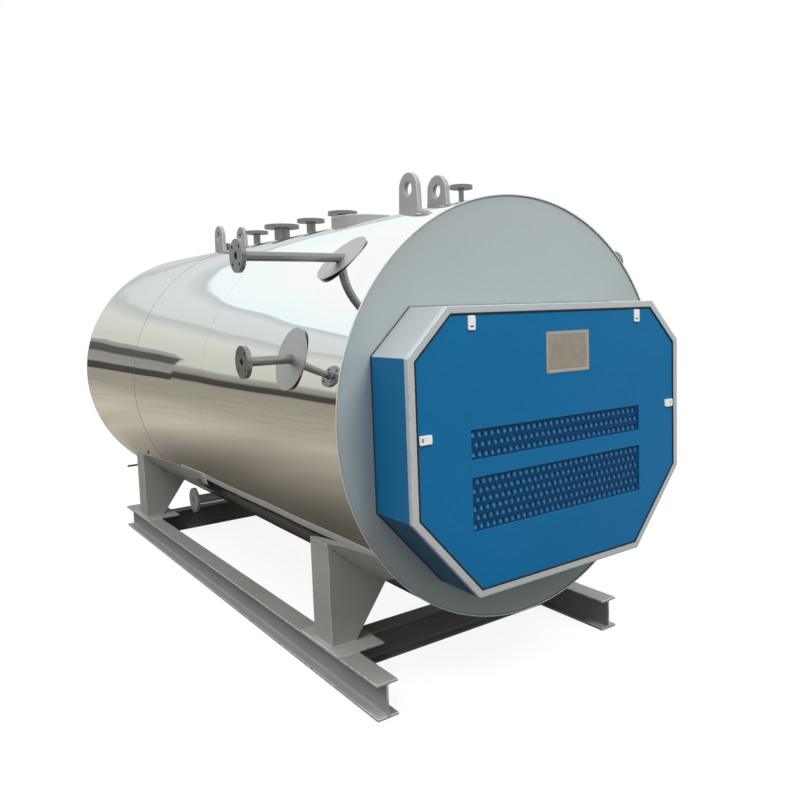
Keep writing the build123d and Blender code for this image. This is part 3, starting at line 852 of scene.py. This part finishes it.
def weldFlanges():
    welds = []
    sealants = []
    for node, (radius, flange) in crownNecks.items():
        low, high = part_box(node)
        y = (low.y + high.y) / 2
        welds.append(neckRing((0, y, high.z - flange), "z", radius))
        foot = (0, y, shellAxis + shellRadius - beadSizes["sealant"] / 2)
        sealant = ringBead("neckSealant", foot, "z", radius, beadSizes["sealant"], beadSizes["neckSegments"])
        sealants.append(halveBead(sealant, foot, (0, 0, 1)))
    radius, flange = levelNeck
    for level in ("upper", "lower"):
        for side, hand in hands.items():
            low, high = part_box("level_nozzle_" + level + "_" + side)
            face = low.x if hand < 0 else high.x
            place = (face - hand * flange, (low.y + high.y) / 2, (low.z + high.z) / 2)
            welds.append(neckRing(place, "x", radius))
    radius, flange = drainNeck
    low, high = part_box("drain_nozzle")
    place = (low.x + flange, (low.y + high.y) / 2, low.z + drainFlangeRadius)
    welds.append(neckRing(place, "x", radius))
    fitOut(joinPieces("flangeWelds", welds), weldMetal, "grey_paint", angle=beadAngle)
    fitOut(joinPieces("neckSealant", sealants), weldMetal, "grey_paint", angle=beadAngle)


legSizes = {"footWidth": 0.109, "padAhead": 0.094, "padOutside": 0.018}


def weldThreeSides(name, outer, inner, front, back, z):  # the outer edge and both edges across
    rows = [beadRow(name, (outer, front, z), (outer, back, z))]
    for y in (front, back):
        rows.append(beadRow(name, (outer, y, z), (inner, y, z)))
    return rows


def weldLegs():  # round each leg's foot, and where its pad lies on the long beam
    welds = []
    for end in bothEnds:
        for side, hand in hands.items():
            low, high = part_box("leg_" + end + "_" + side)
            outer = low.x if hand < 0 else high.x
            inner = outer - hand * legSizes["footWidth"]
            welds += weldThreeSides("footWeldHighlight", outer, inner, low.y, high.y, low.z)
            beamLow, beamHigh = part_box("skid_beam_" + side)
            beamInner = beamHigh.x if hand < 0 else beamLow.x
            padOuter = outer + hand * legSizes["padOutside"]
            front = low.y - legSizes["padAhead"]
            back = high.y + legSizes["padAhead"]
            welds += weldThreeSides("padWeld", padOuter, beamInner, front, back, beamHigh.z)
    fitOut(joinPieces("legWelds", welds), footWeldHighlightMetal, "grey_paint", angle=beadAngle)


def weldLugs():
    welds = []
    for end in bothEnds:
        for side in hands:
            low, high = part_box("lifting_lug_" + end + "_" + side)
            for x in (low.x, high.x):
                z = shellAxis + sqrt(shellRadius ** 2 - x ** 2)
                welds.append(beadRow("lugWeld", (x, low.y, z), (x, high.y, z)))
    fitOut(joinPieces("lugWelds", welds), weldMetal, "grey_paint", angle=beadAngle)


weldFlanges()
weldLegs()
weldLugs()
print("necks, legs and lugs welded")


# camera at the photograph's viewing angle

viewPoint = {"place": (-1.939, -3.868, 1.468), "yaw": 37.66, "pitch": 5.24, "roll": -1.61, "lens": 34.40,
             "sensor": 36, "shift": (-0.085, -0.0288), "reach": 200}


def setCamera():
    clearSelection()
    bpy.ops.object.camera_add(location=viewPoint["place"])
    camera = bpy.context.object
    turn = Matrix.Rotation(radians(-viewPoint["yaw"]), 4, "Z")
    tilt = Matrix.Rotation(radians(90 - viewPoint["pitch"]), 4, "X")
    roll = Matrix.Rotation(radians(viewPoint["roll"]), 4, "Z")
    camera.matrix_world = Matrix.Translation(viewPoint["place"]) @ turn @ tilt @ roll
    camera.data.sensor_width = viewPoint["sensor"]
    camera.data.lens = viewPoint["lens"]
    camera.data.shift_x, camera.data.shift_y = viewPoint["shift"]
    camera.data.clip_end = viewPoint["reach"]
    bpy.context.scene.camera = camera


setCamera()
print("camera placed")


# stage: pale floor, soft lamps, and a far horizon that only the polished sheet mirrors

def mirrorOnly(piece):
    piece.visible_camera = False
    piece.visible_diffuse = False
    piece.visible_shadow = False
    piece.visible_transmission = False


def seenRays(tree):  # 1 for rays from the camera, a mirror or glass, 0 for rays that gather light
    light = addNode(tree, "ShaderNodeLightPath").outputs
    direct = math(tree, "MAXIMUM", light["Is Camera Ray"], light["Is Glossy Ray"])
    return math(tree, "MAXIMUM", direct, light["Is Transmission Ray"])


def layPlane(name, size, height):
    clearSelection()
    bpy.ops.mesh.primitive_plane_add(size=size, location=(0, 0, height))
    return newPiece(name)


def flatFinish(name, roughness):  # a finish without any shine
    material, tree, shader, place = startFinish(name)
    shader.inputs["Roughness"].default_value = roughness
    shader.inputs["Specular IOR Level"].default_value = 0.0
    return material, tree, shader, place


def glowFinish(name):  # a finish that only glows, at the colour it is given
    material = bpy.data.materials.new(name)
    material.use_nodes = True
    tree = material.node_tree
    tree.nodes.remove(tree.nodes["Principled BSDF"])
    glow = addNode(tree, "ShaderNodeEmission", Strength=1.0)
    tree.links.new(glow.outputs[0], tree.nodes["Material Output"].inputs["Surface"])
    return material, tree, glow.inputs["Color"]


floorLook = {"size": 90, "color": (0.17, 0.17, 0.168), "cloudSize": 0.6, "drift": 0.02, "roughness": 0.9,
             "glow": 0.895}


def layFloor():
    floor = layPlane("paleFloor", floorLook["size"], 0)
    material, tree, shader, place = flatFinish("paleFloor", floorLook["roughness"])
    tone = useGroup(tree, toneDrift, Place=place, Color=(*floorLook["color"], 1),
                    Cloud_Size=floorLook["cloudSize"], Drift=floorLook["drift"])["Color"]
    tree.links.new(tone, shader.inputs["Base Color"])
    shader.inputs["Emission Color"].default_value = (1, 1, 1, 1)
    glow = math(tree, "MULTIPLY", seenRays(tree), floorLook["glow"])
    tree.links.new(glow, shader.inputs["Emission Strength"])
    floor.data.materials.append(material)


yardLook = {"size": 80, "height": 0.0008, "reach": 8.0, "cloudSize": 0.9, "drift": 0.34, "roughness": 0.95,
            "sunBehind": (0.0, 4.0), "sunAside": (3.2, 1.4), "sunGain": (0.98, 1.45),
            "shades": [(0.10, (0.13, 0.115, 0.096)), (0.16, (0.19, 0.168, 0.14)), (0.24, (0.27, 0.24, 0.198)),
                       (0.30, (0.33, 0.295, 0.24)), (0.55, (0.40, 0.36, 0.29)), (1.0, (0.44, 0.40, 0.32))]}


def layYard():  # warm ground just over the floor, seen only in the polished sheet, with the boiler's shadow painted on it as ground that darkens near the boiler
    yard = layPlane("mirroredYard", yardLook["size"], yardLook["height"])
    material, tree, shader, place = flatFinish("mirroredYard", yardLook["roughness"])
    parts = splitVector(tree, place)
    aside = math(tree, "ABSOLUTE", parts["X"])
    past = math(tree, "SUBTRACT", math(tree, "ABSOLUTE", parts["Y"]), shellLength / 2)
    past = math(tree, "MAXIMUM", past, 0.0)
    squares = math(tree, "ADD", math(tree, "POWER", aside, 2.0), math(tree, "POWER", past, 2.0))
    away = math(tree, "SQRT", squares)
    # painted shadow: the ground darkens towards the boiler
    shadowedGround = ramp(tree, math(tree, "DIVIDE", away, yardLook["reach"]), yardLook["shades"])
    behind = spread(tree, parts["Y"], *yardLook["sunBehind"])  # a sunny patch past the rear end
    patch = math(tree, "MULTIPLY", behind, spread(tree, aside, *yardLook["sunAside"]))
    sunlit = scaleVector(tree, shadowedGround, spread(tree, patch, 0.0, 1.0, *yardLook["sunGain"]))
    streaks = useGroup(tree, toneDrift, Place=place, Color=sunlit, Cloud_Size=yardLook["cloudSize"],
                       Drift=yardLook["drift"])["Color"]
    tree.links.new(streaks, shader.inputs["Base Color"])
    yard.data.materials.append(material)
    mirrorOnly(yard)


skyLook = {"distance": 24.0, "height": 13.0, "sides": 96, "roofStretch": (1, 1, 0.25), "roofSize": 0.16,
           "roofDetail": 2.0, "roofRoughness": 0.5, "roofRange": (0.3, 0.7), "roofSway": (-0.025, 0.025),
           "bands": [(0.0, (0.34, 0.31, 0.26)), (0.056, (0.29, 0.27, 0.22)), (0.07, (0.06, 0.055, 0.045)),
                     (0.118, (0.07, 0.065, 0.055)), (0.132, (0.24, 0.24, 0.21)), (0.18, (0.36, 0.37, 0.32)),
                     (0.20, (0.58, 0.59, 0.50)), (0.34, (0.62, 0.64, 0.56)), (0.46, (0.68, 0.70, 0.65)),
                     (0.535, (0.54, 0.56, 0.54)), (0.56, (0.68, 0.71, 0.70)), (0.70, (0.72, 0.75, 0.74)),
                     (0.752, (0.56, 0.60, 0.61)), (0.766, (0.90, 0.98, 0.99)), (1.0, (0.96, 1.0, 1.0))]}


def hangSky():  # bands of sky over an uneven horizon
    height = skyLook["height"]
    sky = newBar("mirroredSky", (0, 0, height / 2), skyLook["distance"], height, skyLook["sides"],
                 caps="NOTHING", turn=(0, 0, 0))
    material, tree, glow = glowFinish("mirroredSky")
    place = addNode(tree, "ShaderNodeTexCoord").outputs["Object"]
    flat = stretchPlace(tree, place, skyLook["roofStretch"])
    outline = noise(tree, flat, skyLook["roofSize"], skyLook["roofDetail"], skyLook["roofRoughness"])
    roofs = spread(tree, outline, *skyLook["roofRange"], *skyLook["roofSway"])
    rise = math(tree, "DIVIDE", splitVector(tree, place)["Z"], height)
    tree.links.new(ramp(tree, math(tree, "ADD", rise, roofs), skyLook["bands"]), glow)
    sky.data.materials.append(material)
    mirrorOnly(sky)


shedLook = {"place": (-5.7, 21.3, 1.75), "size": (3.2, 0.3, 2.5), "roofRise": 0.4, "ridgeShare": 0.8,
            "shades": [(0.0, (0.06, 0.055, 0.045)), (0.22, (0.07, 0.065, 0.055)), (0.27, (0.30, 0.30, 0.28)),
                       (0.58, (0.27, 0.27, 0.25)), (0.63, (0.09, 0.09, 0.082)), (0.84, (0.10, 0.10, 0.092)),
                       (0.88, (0.30, 0.305, 0.29)), (1.0, (0.36, 0.37, 0.35))]}


def standShed():  # a far shed, seen only in the polished sheet
    shed = newBlock("mirroredShed", shedLook["place"], shedLook["size"])
    openPiece(shed)
    pick(shed, "FACE", lambda face: face.normal.z > squareOn)
    bpy.ops.mesh.extrude_region_move(TRANSFORM_OT_translate={"value": (0, 0, shedLook["roofRise"])})
    bpy.ops.transform.resize(value=(shedLook["ridgeShare"], 1, 1), center_override=shedLook["place"])
    closePiece()
    material, tree, glow = glowFinish("mirroredShed")
    height = splitVector(tree, addNode(tree, "ShaderNodeTexCoord").outputs["Object"])["Z"]
    foot = shedLook["place"][2] - shedLook["size"][2] / 2
    ridge = foot + shedLook["size"][2] + shedLook["roofRise"]
    tree.links.new(ramp(tree, spread(tree, height, foot, ridge), shedLook["shades"]), glow)
    shed.data.materials.append(material)
    mirrorOnly(shed)


cableLook = {"place": (6.4, 0.0, 5.7), "length": 60.0, "radius": 0.09, "sides": 12, "ease": 0.0225,
             "easeSteps": 2, "easeAngle": 60, "color": (0.42, 0.44, 0.44)}


def hangCable():  # a far overhead line beside the boiler, seen only in the polished sheet
    cable = newBar("mirroredCable", cableLook["place"], cableLook["radius"], cableLook["length"],
                   cableLook["sides"])
    applyModifier(cable, "BEVEL", width=cableLook["ease"], segments=cableLook["easeSteps"],
                  limit_method="ANGLE", angle_limit=radians(cableLook["easeAngle"]))
    material, tree, glow = glowFinish("mirroredCable")
    glow.default_value = (*cableLook["color"], 1)
    cable.data.materials.append(material)
    mirrorOnly(cable)


lamps = {
    "frontSoftbox": {"place": (1.4, -6.4, 6.2), "aim": (0.0, -1.2, 1.1), "size": 3.0, "power": 330.0},
    "leftSoftbox": {"place": (-4.6, -2.2, 6.4), "aim": (-0.4, -0.4, 0.5), "size": 2.4, "power": 172.0},
    "topSoftbox": {"place": (-0.5, 0.0, 7.5), "aim": (0.0, 0.0, 0.0), "size": 6.0, "power": 130.0},
}


def hangLamps():
    for name, lamp in lamps.items():
        clearSelection()
        bpy.ops.object.light_add(type="AREA", location=lamp["place"])
        light = bpy.context.object
        light.name = name
        way = Vector(lamp["aim"]) - Vector(lamp["place"])
        light.rotation_euler = way.to_track_quat("-Z", "Y").to_euler()
        light.data.size = lamp["size"]
        light.data.energy = lamp["power"]
        light.visible_glossy = False


skyLight = {"rise": (0.0, 0.8), "daylight": (0.30, 0.85)}


def lightWorld():  # white where it is seen, and an overcast sky where it only lights
    world = bpy.data.worlds.new("studioDaylight")
    bpy.context.scene.world = world
    world.use_nodes = True
    tree = world.node_tree
    back = tree.nodes["Background"]
    back.inputs["Color"].default_value = (1, 1, 1, 1)
    rise = splitVector(tree, addNode(tree, "ShaderNodeTexCoord").outputs["Generated"])["Z"]
    overcast = spread(tree, rise, *skyLight["rise"], *skyLight["daylight"])
    tree.links.new(math(tree, "MAXIMUM", overcast, seenRays(tree)), back.inputs["Strength"])


layFloor()
layYard()
hangSky()
standShed()
hangCable()
hangLamps()
lightWorld()
bpy.context.scene.view_settings.view_transform = "Standard"
print("stage set")
